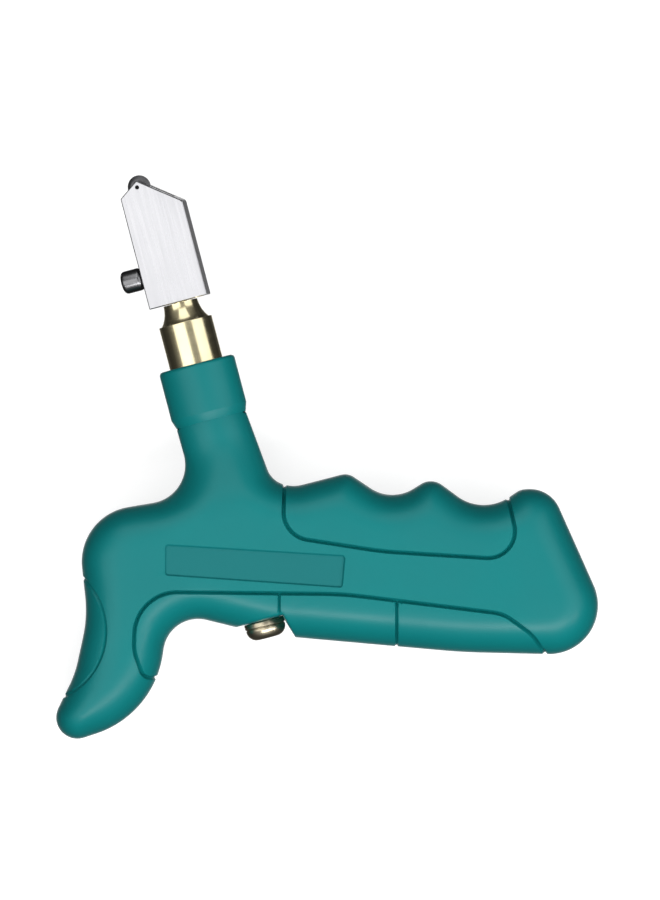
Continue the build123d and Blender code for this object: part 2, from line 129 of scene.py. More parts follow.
# far corners that close each seam into the area of its pads
FINGER_SIDE = [(60.0, 60.0), (0.0, 60.0)]
LOWER_SIDE = [(72.5, -60.0), (-12.0, -60.0)]
THUMB_SIDE = [(-80.0, -31.5), (-80.0, -1.5)]
THUMB_CENTRE = (-50.2, -15.5)
THUMB_R = 16.7
THUMB_SWEEP = (58.0, -68.0)
FIRST_CUT = [((7.1, -6.55), 0), ((7.1, -12.5), 0)]
SECOND_CUT = [((34.6, -8.2), 0), ((34.6, -25.0), 0)]
LABEL = [((-19.6, 5.0), 0.8), ((22.7, 2.4), 0.8), ((22.0, -5.3), 0.8), ((-19.7, -2.4), 0.8)]

# ---------------------------------------------------------------- turned pieces and head
BORE_R = 6.45
BORE_FOOT = -9.0
COLLAR_R = 9.1
COLLAR_TOP = 48.9
COLLAR_BAND = 2.1
SLACK = 0.05
SHANK_R, SHANK_FOOT, TUBE_TOP = 5.4, 32.2, 44.0
FERRULE_R, FERRULE_SHOULDER = 6.4, 59.1
CONE = ((5.8, 59.1), (4.6, 61.1), (4.1, 63.75))      # a curve goes through these three
FEED_R, CHAMBER_R, CHAMBER_FOOT, CHAMBER_TOP = 2.6, 3.6, 45.0, 58.0
STEM_R = 1.6
CAP_R, CAP_TOP, CAP_END = 4.8, -13.5, -17.7
CAP_LINE = -15.0        # grip line round the cap
LINE_DEEP, LINE_BELOW, LINE_ABOVE = 0.35, 0.15, 0.3
CAP_INSET, CAP_DOME = 0.1, 2.5      # how much slimmer the cap is below the line, and its dome
CAP_SHANK_R, CAP_SHANK_TOP = 2.7, -10.7
RING_R, RING_FOOT = 3.75, -14.1
SPOUT_R = 4.05
HEAD_OUTLINE = [
    ((-7.1, 63.9), 0.25),
    ((7.1, 63.9), 0.25),
    ((7.1, 86.8), 1.1),
    ((-2.35, 94.0), 0.35),
    ((-7.1, 90.8), 0.5),
]
HEAD_HALF_THICK = 2.5
HEAD_CHAMFER = 0.22
HEAD_BORE_FOOT, HEAD_BORE_TOP = 60.0, 76.2
HOLE_REACH = 4.0
SLOT_HALF = 0.75
CHEEK_TOL = 0.02        # how close to the slot's wall a face counts as part of it
SLOT_FLOOR_FACING = 0.95
SLOT = [(-8.4, 87.0), (7.0, 88.6), (7.0, 95.3), (-8.4, 95.3)]
AXLE_R, AXLE_HALF = 0.5, 1.7
PIN_R = 0.49
WHEEL_R, WHEEL_FLAT_R, WHEEL_HALF = 2.8, 1.95, 0.45
SCREW_AT = AXIS_POINT + ALONG * 71.5
SCREW_R, SCREW_IN, SCREW_OUT, SCREW_ROUND = 2.7, 7.2, 12.2, 1.0
SCREW_SHANK_R, DOG_R, DOG_TIP, DOG_ROOT = 1.3, 0.9, 1.2, 1.9
SCREW_HOLE_R, SCREW_HOLE_FOOT, SCREW_HOLE_TOP = 1.6, 0.2, 8.0
HEX_R, HEX_DEEP = 1.5, 1.8
SCREW_HEAD_R, SCREW_HEAD_GAP, SCREW_HEAD_TALL, SCREW_SINK = 2.5, 0.2, 2.2, 3.0

# rounding radii of the small parts' edges, the spacing of points on their rounded
# profiles, and the number of facets round them
CRISP, FINE_EDGE, SMALL_EDGE, SOFT_EDGE = 0.05, 0.1, 0.15, 0.2
COLLAR_EDGE, FERRULE_EDGE, CAP_EDGE, CAP_SHANK_EDGE = 0.9, 0.12, 0.25, 0.3
LINE_EDGE, WHEEL_EDGE = 0.06, 0.02
COLLAR_STEP, CAP_STEP, FERRULE_STEP, HEAD_STEP = 0.12, 0.08, 0.06, 0.1
SCREW_STEP, PIN_STEP, WHEEL_STEP = 0.08, 0.03, 0.02
CONE_POINTS = 17
ROUND_TURNS, CAP_TURNS, SCREW_TURNS, BORE_TURNS, FINE_TURNS, HEX_TURNS = 160, 128, 96, 64, 48, 6
CUT_PAST = 1.0          # how far a cutter runs past the face it opens
SHARP, CRISP_SHARP, HEAD_SHARP = 35.0, 30.0, 20.0     # degrees above which an edge stays sharp
WELD, DEGENERATE = 1e-7, 1e-8                         # metres

# ---------------------------------------------------------------- handle surface
ROLL = 9.0              # width of the rolled edge
ROLL_POWER = 2.3
NOTCH_ROLL, NOTCH_POWER = 1.1, 5.0
STEP = 0.55             # spacing round the outline
FINE_STEP = 0.12
RING_ANGLES = (1, 3, 8, 13, 19, 25, 32, 39, 46, 53, 60, 67, 75, 83, 90)
INNER_STEP = 1.5
GROOVES = {             # half width and depth of each groove
    "finger": (0.5, 1.2),
    "lower": (0.5, 1.2),
    "thumb": (0.38, 0.8),
    "first": (0.38, 0.9),
    "second": (0.42, 1.0),
}
GROOVE_SHAPE = 1.3      # power that rounds a groove's floor
GROOVE_FADE = 2.5       # distance from the outline over which a groove deepens
GROOVE_AT_RIM = 0.4     # share of a groove's depth that reaches the silhouette

# rows of mesh points: their distances beside a groove, the notch and the label's edge
SIDE_LINES = (0.1, 0.2, 0.3, 0.4, 0.52, 0.75, 1.1)
NOTCH_LINES = (0.04, 0.15, 0.35, 0.6, 0.85, 1.1, 1.6)
LABEL_LINES = (0.3, -0.1, -0.2, -0.3, -0.7)
LABEL_STEP = 0.4
SEAM_NEAR = 1.2         # distance from a groove within which the outline is fine
RIM_CLEAR = 0.9         # room beside the outline that seam rows leave to its own rows
SPARSE_FROM = 2.5       # distance inside the outline where its rows are thinned
THIN_SHARE = 0.8        # smallest gap in a thinned row, as a share of the spacing
SEAM_SHARE = 0.95       # share of the first row's distance that a row keeps from every groove
SEAM_CLEAR = 1.1        # share of the last row's distance that the outline's rows keep from it
RIM_SEAM_GAP = 0.06     # distance they keep from a groove where they are close to the outline
NOTCH_RIM_GAP = 0.03    # distance that the notch's rows keep from the outline
KEEP_GAP = 0.97         # share of its distance that a side row must keep from its path
RING_GAP = 0.985        # the same for a row inside the outline

LABEL_DEEP = 0.5
LABEL_BEVEL = 0.4
PARTING = 0.15          # depth of the parting line
NECK_FADE = (13.0, 31.0)        # along the barrel, where the body turns into the round neck
NECK_SIDE = (9.5, 19.0)         # across the barrel, where the neck's form fades out
SOFT_POWER = 5.0
SOFT_STEP = 0.25
SOFT_BLOCK = 2000       # plan points worked on at a time
SOFT_FROM, SOFT_OVER = 0.6, 1.8     # where the creaseless distance starts, and its fade
DENSE_STEP = 0.02
EDGE_TOL = 1e-3
PLAN_TOL = 1e-4
ON_EDGE = 0.01          # distance within which a point counts as on the outline
RIM_TOL = 0.0008        # distance within which a point has no height
SHARE_MIN = 1e-7
TINY = 1e-9


def unit(vector):
    """Unit vector of a numpy pair."""
    return vector / np.hypot(*vector)


def rounded(corners, step, closed):
    """Points along a polyline whose corners are rounded, about a step apart."""
    points = [np.array(point, float) for point, radius in corners]
    radii = [radius for point, radius in corners]
    count = len(points)
    path = []
    for index in range(count):
        here, radius = points[index], radii[index]
        if not closed and index in (0, count - 1) or not radius:
            path.append(here)
            continue
        before = unit(points[index - 1] - here)
        after = unit(points[(index + 1) % count] - here)
        half_turn = (math.pi - math.acos(np.clip(before @ after, -1, 1))) / 2
        reach = radius * math.tan(half_turn)
        centre = here + unit(before + after) * radius / math.cos(half_turn)
        start = here + before * reach - centre
        side = np.sign(start[0] * (here - centre)[1] - start[1] * (here - centre)[0])
        pieces = max(2, math.ceil(2 * half_turn * radius / step))
        for piece in range(pieces + 1):
            turn = side * 2 * half_turn * piece / pieces
            cos, sin = math.cos(turn), math.sin(turn)
            path.append(centre + (cos * start[0] - sin * start[1], sin * start[0] + cos * start[1]))
    return np.array(path)


def resample(path, spacing, closed):
    """Points along a path, with the spacing that a function asks for at each place."""
    ends = np.vstack([path, path[:1]]) if closed else path
    lengths = np.hypot(*np.diff(ends, axis=0).T)
    along = np.concatenate([[0], np.cumsum(lengths)])
    dense_count = int(along[-1] / DENSE_STEP)
    dense_at = np.linspace(0, along[-1], dense_count + 1)
    dense = np.column_stack([np.interp(dense_at, along, ends[:, axis]) for axis in (0, 1)])
    weight = 1 / spacing(dense)
    ticks = np.concatenate([[0], np.cumsum((weight[1:] + weight[:-1]) / 2 * np.diff(dense_at))])
    count = max(2, round(ticks[-1]))
    at = np.interp(np.linspace(0, ticks[-1], count + 1), ticks, dense_at)
    points = np.column_stack([np.interp(at, dense_at, dense[:, axis]) for axis in (0, 1)])
    return points[:-1] if closed else points


def near(points, path, closed=False):
    """Distance from each point to a path, and the nearest place on it."""
    ends = np.vstack([path, path[:1]]) if closed else path
    best = np.full(len(points), np.inf)
    where = np.zeros((len(points), 2))
    for start, stop in zip(ends[:-1], ends[1:]):
        run = stop - start
        share = np.clip((points - start) @ run / max(run @ run, TINY), 0, 1)
        spot = start + share[:, None] * run
        gap = np.hypot(*(points - spot).T)
        closer = gap < best
        best[closer] = gap[closer]
        where[closer] = spot[closer]
    return best, where


def inside(points, path):
    """Whether each point is inside a closed path."""
    x, y = points[:, 0], points[:, 1]
    result = np.zeros(len(points), bool)
    for (x1, y1), (x2, y2) in zip(path, np.roll(path, -1, axis=0)):
        if y1 == y2:
            continue
        crosses = (y1 > y) != (y2 > y)
        result ^= crosses & (x < (x2 - x1) * (y - y1) / (y2 - y1) + x1)
    return result


def on_barrel(across, along):
    """Plan position of a place given across and along the barrel."""
    return np.array([ACROSS.x * across + ALONG.x * along, ACROSS.y * across + ALONG.y * along])


def barrel_across(points):
    """How far across the barrel each plan point is."""
    return points @ np.array([ACROSS.x, ACROSS.y])


def barrel_along(points):
    """How far along the barrel each plan point is."""
    return points @ np.array([ALONG.x, ALONG.y])


def ease(share):
    """A smooth step from 0 to 1."""
    share = np.clip(share, 0, 1)
    return share * share * (3 - 2 * share)


def neck_share(points):
    """How much of the round neck's form each plan point has, from 0 to 1."""
    across, along = np.abs(barrel_across(points)), barrel_along(points)
    rise = ease((along - NECK_FADE[0]) / (NECK_FADE[1] - NECK_FADE[0]))
    return rise * (1 - ease((across - NECK_SIDE[0]) / (NECK_SIDE[1] - NECK_SIDE[0])))


def arc(centre, radius, sweep, step):
    """Points on an arc between two angles in degrees."""
    count = math.ceil(abs(math.radians(sweep[1] - sweep[0])) * radius / step)
    angles = np.radians(np.linspace(*sweep, count + 1))
    return np.column_stack([centre[0] + radius * np.cos(angles), centre[1] + radius * np.sin(angles)])


left_root = on_barrel(-NECK_R, NECK_END)
right_root = on_barrel(NECK_R, NECK_END)
OUTER = rounded([(tuple(left_root), 0), *HANDLE, (tuple(right_root), 0)], STEP / 3, False)
NOSE = np.array([on_barrel(NOSE_R, NECK_END), on_barrel(NOSE_R, NOSE_END),
                 on_barrel(-NOSE_R, NOSE_END), on_barrel(-NOSE_R, NECK_END)])
NOTCH_XY = np.array([on_barrel(*corner) for corner in NOTCH])
SEAMS = {
    "finger": rounded(FINGER_SEAM, STEP / 2, False),
    "lower": rounded(LOWER_SEAM, STEP / 2, False),
    "thumb": arc(THUMB_CENTRE, THUMB_R, THUMB_SWEEP, STEP / 2),
    "first": rounded(FIRST_CUT, STEP, False),
    "second": rounded(SECOND_CUT, STEP, False),
}
LABEL_XY = rounded(LABEL, FINE_STEP, True)


def seam_distance(points):
    """Distance to the nearest groove."""
    gaps = np.array([near(points, path)[0] for path in SEAMS.values()])
    return gaps.min(axis=0)


def soft_distance(points):
    """A distance from the outline without creases on its middle line."""
    boundary = resample(OUTER, lambda dense: np.full(len(dense), SOFT_STEP), False)
    middle = (boundary[1:] + boundary[:-1]) / 2
    length = np.hypot(*np.diff(boundary, axis=0).T)
    total = np.zeros(len(points))
    for block in range(0, len(points), SOFT_BLOCK):
        chunk = points[block:block + SOFT_BLOCK]
        square = ((chunk[:, None, :] - middle[None, :, :]) ** 2).sum(axis=2)
        share = length / np.maximum(square, PLAN_TOL) ** (SOFT_POWER / 2)
        total[block:block + SOFT_BLOCK] = share.sum(axis=1)
    straight = math.sqrt(math.pi) * math.gamma((SOFT_POWER - 1) / 2) / math.gamma(SOFT_POWER / 2)
    return (total / straight) ** (-1 / (SOFT_POWER - 1))


def roll(distance, width, power):
    """Height, from 0 to 1, of an edge rolled over a width."""
    share = np.clip(distance / width, 0, 1)
    return (1 - (1 - share) ** power) ** (1 / power)


def height(points):
    """Half thickness of the handle over each plan point."""
    true, _ = near(points, OUTER)
    soft = soft_distance(points)
    neck = neck_share(points)
    blend = ease((true - SOFT_FROM) / SOFT_OVER) * (1 - neck)
    distance = true * (1 - blend) + soft * blend
    top = HALF + (NECK_R - HALF) * neck
    width = ROLL + (NECK_R - ROLL) * neck
    power = ROLL_POWER + (2 - ROLL_POWER) * neck
    tall = top * roll(distance, width, power)
    across, along = barrel_across(points), barrel_along(points)
    tall = np.where(along > NECK_END + EDGE_TOL, np.sqrt(np.maximum(NOSE_R**2 - across**2, 0)), tall)
    notch_gap, _ = near(points, NOTCH_XY, True)
    return tall * roll(notch_gap, NOTCH_ROLL, NOTCH_POWER)


def groove_depth(points, rim_gap):
    """How deep the surface is cut at each plan point by the seam grooves."""
    deepest = np.zeros(len(points))
    for name, path in SEAMS.items():
        half, deep = GROOVES[name]
        share = np.clip(near(points, path)[0] / half, 0, 1)
        deepest = np.maximum(deepest, deep * (1 - share**2) ** GROOVE_SHAPE)
    notch_gap, _ = near(points, NOTCH_XY, True)
    deepest *= ease(notch_gap / NOTCH_ROLL)
    return deepest * (GROOVE_AT_RIM + (1 - GROOVE_AT_RIM) * ease(rim_gap / GROOVE_FADE))


def label_depth(points):
    """How deep the label recess is at each plan point."""
    gap, _ = near(points, LABEL_XY, True)
    return LABEL_DEEP * np.where(inside(points, LABEL_XY), ease(gap / LABEL_BEVEL), 0)


def outline_points():
    """Closed outline of the handle with its notch and nose, finer near the grooves."""
    def spacing(dense):
        return np.where(seam_distance(dense) < SEAM_NEAR, FINE_STEP, STEP)

    edge = resample(OUTER, spacing, False)
    edge = edge[~inside(edge, NOTCH_XY)]
    gap_from = np.argmax(np.hypot(*np.diff(edge, axis=0).T))
    left_end, right_end = edge[gap_from], edge[gap_from + 1]
    facet = resample(np.array([left_end, NOTCH_XY[1]]), lambda dense: np.full(len(dense), STEP / 2), False)
    wall = resample(np.array([NOTCH_XY[1], right_end]), lambda dense: np.full(len(dense), STEP / 2), False)
    notch = np.vstack([facet[1:-1], wall[:-1]])
    return np.vstack([edge[:gap_from + 1], notch, edge[gap_from + 1:], NOSE])


def ring_points(outline):
    """Rows of points inside the outline, at the distances where the rolled edge climbs evenly."""
    following = np.roll(outline, -1, axis=0) - np.roll(outline, 1, axis=0)
    normal = np.column_stack([-following[:, 1], following[:, 0]])
    normal /= np.hypot(*normal.T)[:, None]
    rows = []
    for angle in RING_ANGLES:
        distance = ROLL * (1 - math.cos(math.radians(angle)) ** (2 / ROLL_POWER))
        row = outline + normal * distance
        true, _ = near(row, outline, True)
        kept = row[(true > distance * RING_GAP - PLAN_TOL) & inside(row, outline)]
        if distance > SPARSE_FROM:
            kept = thin(kept, STEP * THIN_SHARE)
        rows.append(kept)
    return np.vstack(rows)


def thin(points, gap):
    """Points with those closer than a gap to one already kept left out."""
    cells = {}
    kept = []
    for point in points:
        cell = (int(point[0] // gap), int(point[1] // gap))
        if any(
            math.dist(point, other) < gap
            for dx in (-1, 0, 1)
            for dy in (-1, 0, 1)
            for other in cells.get((cell[0] + dx, cell[1] + dy), ())
        ):
            continue
        cells.setdefault(cell, []).append(point)
        kept.append(point)
    return np.array(kept).reshape(-1, 2)


def beside(path, distances, spacing, closed=False):
    """Points on lines that run beside a path."""
    line = resample(path, lambda dense: np.full(len(dense), spacing), closed)
    if closed:
        run = np.roll(line, -1, axis=0) - np.roll(line, 1, axis=0)
    else:
        run = np.gradient(line, axis=0)
    side = np.column_stack([-run[:, 1], run[:, 0]])
    side /= np.hypot(*side.T)[:, None]
    rows = []
    for distance in distances:
        row = line + side * distance
        gap, _ = near(row, path, closed)
        rows.append(row[gap > abs(distance) * KEEP_GAP])
    return np.vstack(rows)


def handle_plan():
    """Triangulates the handle in plan, and gives its points, triangles and outline."""
    outline = outline_points()
    edges = [(index, (index + 1) % len(outline)) for index in range(len(outline))]
    fixed = [outline]
    total = len(outline)
    for path in SEAMS.values():
        line = resample(path, lambda dense: np.full(len(dense), STEP), False)
        edges += [(total + index, total + index + 1) for index in range(len(line) - 1)]
        fixed.append(line)
        total += len(line)
    for inward in (0, -LABEL_BEVEL):
        line = beside(LABEL_XY, (inward,), LABEL_STEP, True)
        edges += [(total + index, total + (index + 1) % len(line)) for index in range(len(line))]
        fixed.append(line)
        total += len(line)
    fixed = np.vstack(fixed)

    both_sides = [side * gap for gap in SIDE_LINES for side in (-1, 1)]
    seam_rows = np.vstack([beside(path, both_sides, STEP) for path in SEAMS.values()])
    seam_rows = seam_rows[inside(seam_rows, outline)]
    rim_gap, _ = near(seam_rows, outline, True)
    closest = seam_distance(seam_rows)
    seam_rows = seam_rows[(rim_gap > RIM_CLEAR) & (closest > SIDE_LINES[0] * SEAM_SHARE)]

    rings = ring_points(outline)
    ring_gap, _ = near(rings, outline, True)
    room = np.where(ring_gap < RIM_CLEAR, RIM_SEAM_GAP, SIDE_LINES[-1] * SEAM_CLEAR)
    rings = rings[seam_distance(rings) > room]

    label_rows = beside(LABEL_XY, LABEL_LINES, LABEL_STEP, True)
    notch_rows = beside(NOTCH_XY[:3], NOTCH_LINES, STEP / 2)
    notch_rows = notch_rows[inside(notch_rows, outline)]
    rim_gap, _ = near(notch_rows, outline, True)
    notch_rows = notch_rows[rim_gap > NOTCH_RIM_GAP]

    low, high = outline.min(axis=0), outline.max(axis=0)
    grid = np.stack(np.meshgrid(np.arange(low[0], high[0], INNER_STEP),
                                np.arange(low[1], high[1], INNER_STEP)), axis=-1).reshape(-1, 2)
    grid = grid[inside(grid, outline)]
    rows = np.vstack([rings, seam_rows, label_rows, notch_rows])
    taken = {tuple(np.floor(point / INNER_STEP).astype(int)) for point in np.vstack([rows, fixed])}
    grid = np.array([
        point for point in grid
        if not any((int(point[0] // INNER_STEP) + dx, int(point[1] // INNER_STEP) + dy) in taken
                   for dx in (-1, 0, 1) for dy in (-1, 0, 1))
    ]).reshape(-1, 2)

    points = np.vstack([fixed, rows, grid])
    result = delaunay_2d_cdt([Vector(point) for point in points.tolist()], edges, [], 0, PLAN_TOL)
    plan = np.array([tuple(vertex) for vertex in result[0]])
    triangles = np.array([face for face in result[2] if len(face) == 3])
    centres = plan[triangles].mean(axis=1)
    return plan, triangles[inside(centres, outline)], outline


def zone_of(centres):
    """Which piece of the handle each plan point belongs to."""
    finger = inside(centres, np.vstack([SEAMS["finger"], FINGER_SIDE]))
    lower = inside(centres, np.vstack([SEAMS["lower"], LOWER_SIDE]))
    thumb = inside(centres, np.vstack([SEAMS["thumb"], THUMB_SIDE]))
    first, second = SEAMS["first"], SEAMS["second"]
    behind_first = centres[:, 0] > np.interp(centres[:, 1], first[::-1, 1], first[::-1, 0])
    behind_second = centres[:, 0] > np.interp(centres[:, 1], second[::-1, 1], second[::-1, 0])
    zone = np.full(len(centres), "shell", dtype=object)
    zone[finger] = "finger_grip"
    zone[thumb] = "thumb_pad"
    zone[lower] = "trigger_pad"
    zone[lower & behind_first] = "lower_pad_front"
    zone[lower & behind_second] = "lower_pad_rear"
    return zone


def surface_normals(plan):
    """Which way the rolled surface faces at each plan point, as x, y and z."""
    gap, where = near(plan, OUTER)
    away = plan - where
    size = np.hypot(*away.T)
    on_edge = size < ON_EDGE
    inward = away / np.maximum(size, TINY)[:, None]
    inward[on_edge] = edge_inward(plan[on_edge], OUTER)
    share = np.clip(gap / ROLL, SHARE_MIN, 1)
    rest = 1 - share
    slope = HALF / ROLL * rest ** (ROLL_POWER - 1) * (1 - rest**ROLL_POWER) ** (1 / ROLL_POWER - 1)
    normal = np.column_stack([-inward * slope[:, None], np.ones(len(plan))])
    return normal / np.linalg.norm(normal, axis=1)[:, None]


def edge_inward(points, path):
    """Inward direction of the outline at points that lie on it."""
    middle = (path[1:] + path[:-1]) / 2
    run = np.diff(path, axis=0)
    side = np.column_stack([-run[:, 1], run[:, 0]]) / np.hypot(*run.T)[:, None]
    nearest = ((points[:, None, :] - middle[None, :, :]) ** 2).sum(axis=2).argmin(axis=1)
    return side[nearest]


# ---------------------------------------------------------------- making meshes
def make_object(name, vertices, faces, sharp=SHARP):
    """A mesh object from vertices in millimetres."""
    mesh = bpy.data.meshes.new(name)
    mesh.from_pydata([tuple(vertex) for vertex in (np.asarray(vertices) * MM).tolist()], [], faces)
    tidy = bmesh.new()
    tidy.from_mesh(mesh)
    bmesh.ops.remove_doubles(tidy, verts=tidy.verts, dist=WELD)
    bmesh.ops.dissolve_degenerate(tidy, edges=tidy.edges, dist=DEGENERATE)
    bmesh.ops.recalc_face_normals(tidy, faces=tidy.faces)
    tidy.to_mesh(mesh)
    tidy.free()
    obj = bpy.data.objects.new(name, mesh)
    bpy.context.scene.collection.objects.link(obj)
    smooth(obj, sharp)
    return obj


def smooth(obj, sharp):
    """Smooth shading, with edges sharper than an angle kept."""
    obj.data.shade_smooth()
    obj.data.set_sharp_from_angle(angle=math.radians(sharp))


def cut(obj, *cutters, sharp=SHARP):
    """Subtracts closed objects and removes them."""
    for cutter in cutters:
        step = obj.modifiers.new("cut", "BOOLEAN")
        step.operation = "DIFFERENCE"
        step.solver = "EXACT"
        step.object = cutter
    bpy.context.view_layer.update()
    solved = obj.evaluated_get(bpy.context.evaluated_depsgraph_get())
    result = bpy.data.meshes.new_from_object(solved)
    obj.modifiers.clear()
    obj.data = result
    for cutter in cutters:
        bpy.data.objects.remove(cutter)
    smooth(obj, sharp)


def lathe(name, profile, origin=AXIS_POINT, axis=ALONG, across=ACROSS, turns=FINE_TURNS, sharp=SHARP):
    """Turns a closed profile of (radius, distance along the axis) points."""
    side = axis.cross(across)
    vertices, rows = [], []
    for radius, along in profile:
        row = []
        for turn in range(turns if radius > EDGE_TOL else 1):
            angle = 2 * math.pi * turn / turns
            spot = origin + axis * along + (across * math.cos(angle) + side * math.sin(angle)) * radius
            row.append(len(vertices))
            vertices.append(tuple(spot))
        rows.append(row)
    faces = []
    for lower, upper in zip(rows, rows[1:] + rows[:1]):
        if len(lower) == 1 and len(upper) == 1:
            continue
        for turn in range(turns):
            after = (turn + 1) % turns
            corners = [lower[turn % len(lower)], lower[after % len(lower)],
                       upper[after % len(upper)], upper[turn % len(upper)]]
            faces.append(tuple(dict.fromkeys(corners)))
    return make_object(name, vertices, faces, sharp)


def rod(radius, foot, top):
    """Lathe profile of a plain cylinder."""
    return [(0, foot), (radius, foot), (radius, top), (0, top)]


def turned(name, corners, step, **how):
    """A lathe piece from corners that each have a rounding radius."""
    return lathe(name, rounded(corners, step, True).tolist(), **how)


def prism(name, corners, origin, x_dir, z_dir, low, high):
    """A closed prism over a polygon in the plane of x_dir and the barrel."""
    count = len(corners)
    vertices = [
        tuple(origin + x_dir * x + ALONG * y + z_dir * depth)
        for depth in (low, high)
        for x, y in corners
    ]
    faces = [tuple(range(count)), tuple(range(count, 2 * count))]
    for index in range(count):
        after = (index + 1) % count
        faces.append((index, after, count + after, count + index))
    return make_object(name, vertices, faces, CRISP_SHARP)


def face_table(obj, field):
    """One vector for each face: its centre or its normal."""
    values = np.empty(3 * len(obj.data.polygons))
    obj.data.polygons.foreach_get(field, values)
    return values.reshape(-1, 3)


def place(obj, body, node, material, other=None, chosen=None):
    """Gives a piece its body and material, and a second material to chosen faces, and hides the CAD part that
    it stands for.
    """
    obj.data.materials.clear()
    obj.data.materials.append(material)
    if other:
        obj.data.materials.append(other)
        obj.data.polygons.foreach_set("material_index", chosen.astype(np.int32))
    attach(obj, body)
    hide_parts(node)


# ---------------------------------------------------------------- materials
NOISE_LOW, NOISE_HIGH = 0.3, 0.7        # range that most of a noise texture stays in


def new_material(name):
    """An empty node material with its shader and a coordinate source in metres."""
    material = bpy.data.materials.new(name)
    material.use_nodes = True
    tree = material.node_tree
    shader = tree.nodes["Principled BSDF"]
    coordinates = tree.nodes.new("ShaderNodeTexCoord")
    return material, tree, shader, coordinates


def noise(tree, coordinates, scale, detail=2.0, roughness=0.5, stretch=None):
    """A noise texture in object space, which stretch scales along and across the barrel."""
    source = coordinates.outputs["Object"]
    if stretch:
        turn = tree.nodes.new("ShaderNodeMapping")
        turn.vector_type = "TEXTURE"
        turn.inputs["Rotation"].default_value = (0, 0, -math.atan2(ALONG.x, ALONG.y))
        turn.inputs["Scale"].default_value = stretch
        tree.links.new(source, turn.inputs["Vector"])
        source = turn.outputs["Vector"]
    texture = tree.nodes.new("ShaderNodeTexNoise")
    texture.inputs["Scale"].default_value = scale
    texture.inputs["Detail"].default_value = detail
    texture.inputs["Roughness"].default_value = roughness
    tree.links.new(source, texture.inputs["Vector"])
    return texture.outputs["Fac"]


def spread(tree, source, low, high):
    """Maps a noise value onto a range."""
    node = tree.nodes.new("ShaderNodeMapRange")
    node.inputs["From Min"].default_value = NOISE_LOW
    node.inputs["From Max"].default_value = NOISE_HIGH
    node.inputs["To Min"].default_value = low
    node.inputs["To Max"].default_value = high
    tree.links.new(source, node.inputs["Value"])
    return node.outputs["Result"]


def blend_colours(tree, source, first, second):
    """A colour between two, chosen by a noise value."""
    node = tree.nodes.new("ShaderNodeMix")
    node.data_type = "RGBA"
    colour_in = [socket for socket in node.inputs if socket.type == "RGBA"]
    colour_in[0].default_value = (*first, 1)
    colour_in[1].default_value = (*second, 1)
    tree.links.new(source, node.inputs["Factor"])
    return [socket for socket in node.outputs if socket.type == "RGBA"][0]


def bump(tree, shader, source, distance, strength):
    """Adds a bump of a depth in metres to a shader."""
    node = tree.nodes.new("ShaderNodeBump")
    node.inputs["Distance"].default_value = distance
    node.inputs["Strength"].default_value = strength
    tree.links.new(source, node.inputs["Height"])
    tree.links.new(node.outputs["Normal"], shader.inputs["Normal"])


def moulded(name, colour, shade, roughness):
    """Satin moulded plastic with a fine spark-eroded grain."""
    material, tree, shader, coordinates = new_material(name)
    patch = noise(tree, coordinates, scale=45.0, detail=3.0)
    tree.links.new(blend_colours(tree, spread(tree, patch, 0, 1), colour, shade), shader.inputs["Base Color"])
    grain = noise(tree, coordinates, scale=2600.0, roughness=0.6)
    dullness = spread(tree, patch, low=roughness - 0.04, high=roughness + 0.05)
    tree.links.new(dullness, shader.inputs["Roughness"])
    bump(tree, shader, grain, distance=0.000012, strength=0.5)
    shader.inputs["Specular IOR Level"].default_value = 0.2
    return material


def lathed(name, colour, shade, roughness):
    """Turned metal, with fine rings round the barrel."""
    material, tree, shader, coordinates = new_material(name)
    rings = noise(tree, coordinates, scale=900.0, detail=3.0, roughness=0.6, stretch=(30.0, 1.0, 30.0))
    patch = noise(tree, coordinates, scale=120.0)
    tree.links.new(blend_colours(tree, spread(tree, patch, 0, 1), colour, shade), shader.inputs["Base Color"])
    dullness = spread(tree, rings, low=roughness - 0.05, high=roughness + 0.07)
    tree.links.new(dullness, shader.inputs["Roughness"])
    bump(tree, shader, rings, distance=0.000003, strength=0.4)
    shader.inputs["Metallic"].default_value = 1.0
    return material


def ground(name, colour, shade, roughness):
    """Ground steel, with fine lines along the barrel."""
    material, tree, shader, coordinates = new_material(name)
    lines = noise(tree, coordinates, scale=1500.0, detail=3.0, roughness=0.6, stretch=(1.0, 40.0, 1.0))
    patch = noise(tree, coordinates, scale=90.0)
    tree.links.new(blend_colours(tree, spread(tree, patch, 0, 1), colour, shade), shader.inputs["Base Color"])
    dullness = spread(tree, lines, low=roughness - 0.06, high=roughness + 0.08)
    tree.links.new(dullness, shader.inputs["Roughness"])
    bump(tree, shader, lines, distance=0.000002, strength=0.35)
    shader.inputs["Metallic"].default_value = 1.0
    return material


def soft_rubber(name, colour, shade):
    """Dull moulded rubber."""
    material, tree, shader, coordinates = new_material(name)
    grain = noise(tree, coordinates, scale=1800.0, detail=3.0)
    tree.links.new(blend_colours(tree, grain, colour, shade), shader.inputs["Base Color"])
    shader.inputs["Roughness"].default_value = 0.8
    bump(tree, shader, grain, distance=0.00001, strength=0.6)
    return material


def braided(name, colour, shade):
    """Braided cotton cord."""
    material, tree, shader, coordinates = new_material(name)
    strands = tree.nodes.new("ShaderNodeTexWave")
    strands.wave_type = "BANDS"
    strands.bands_direction = "DIAGONAL"
    strands.inputs["Scale"].default_value = 900.0
    strands.inputs["Distortion"].default_value = 1.5
    tree.links.new(coordinates.outputs["Object"], strands.inputs["Vector"])
    tree.links.new(blend_colours(tree, strands.outputs["Fac"], shade, colour), shader.inputs["Base Color"])
    shader.inputs["Roughness"].default_value = 0.95
    bump(tree, shader, strands.outputs["Fac"], distance=0.00006, strength=0.8)
    return material


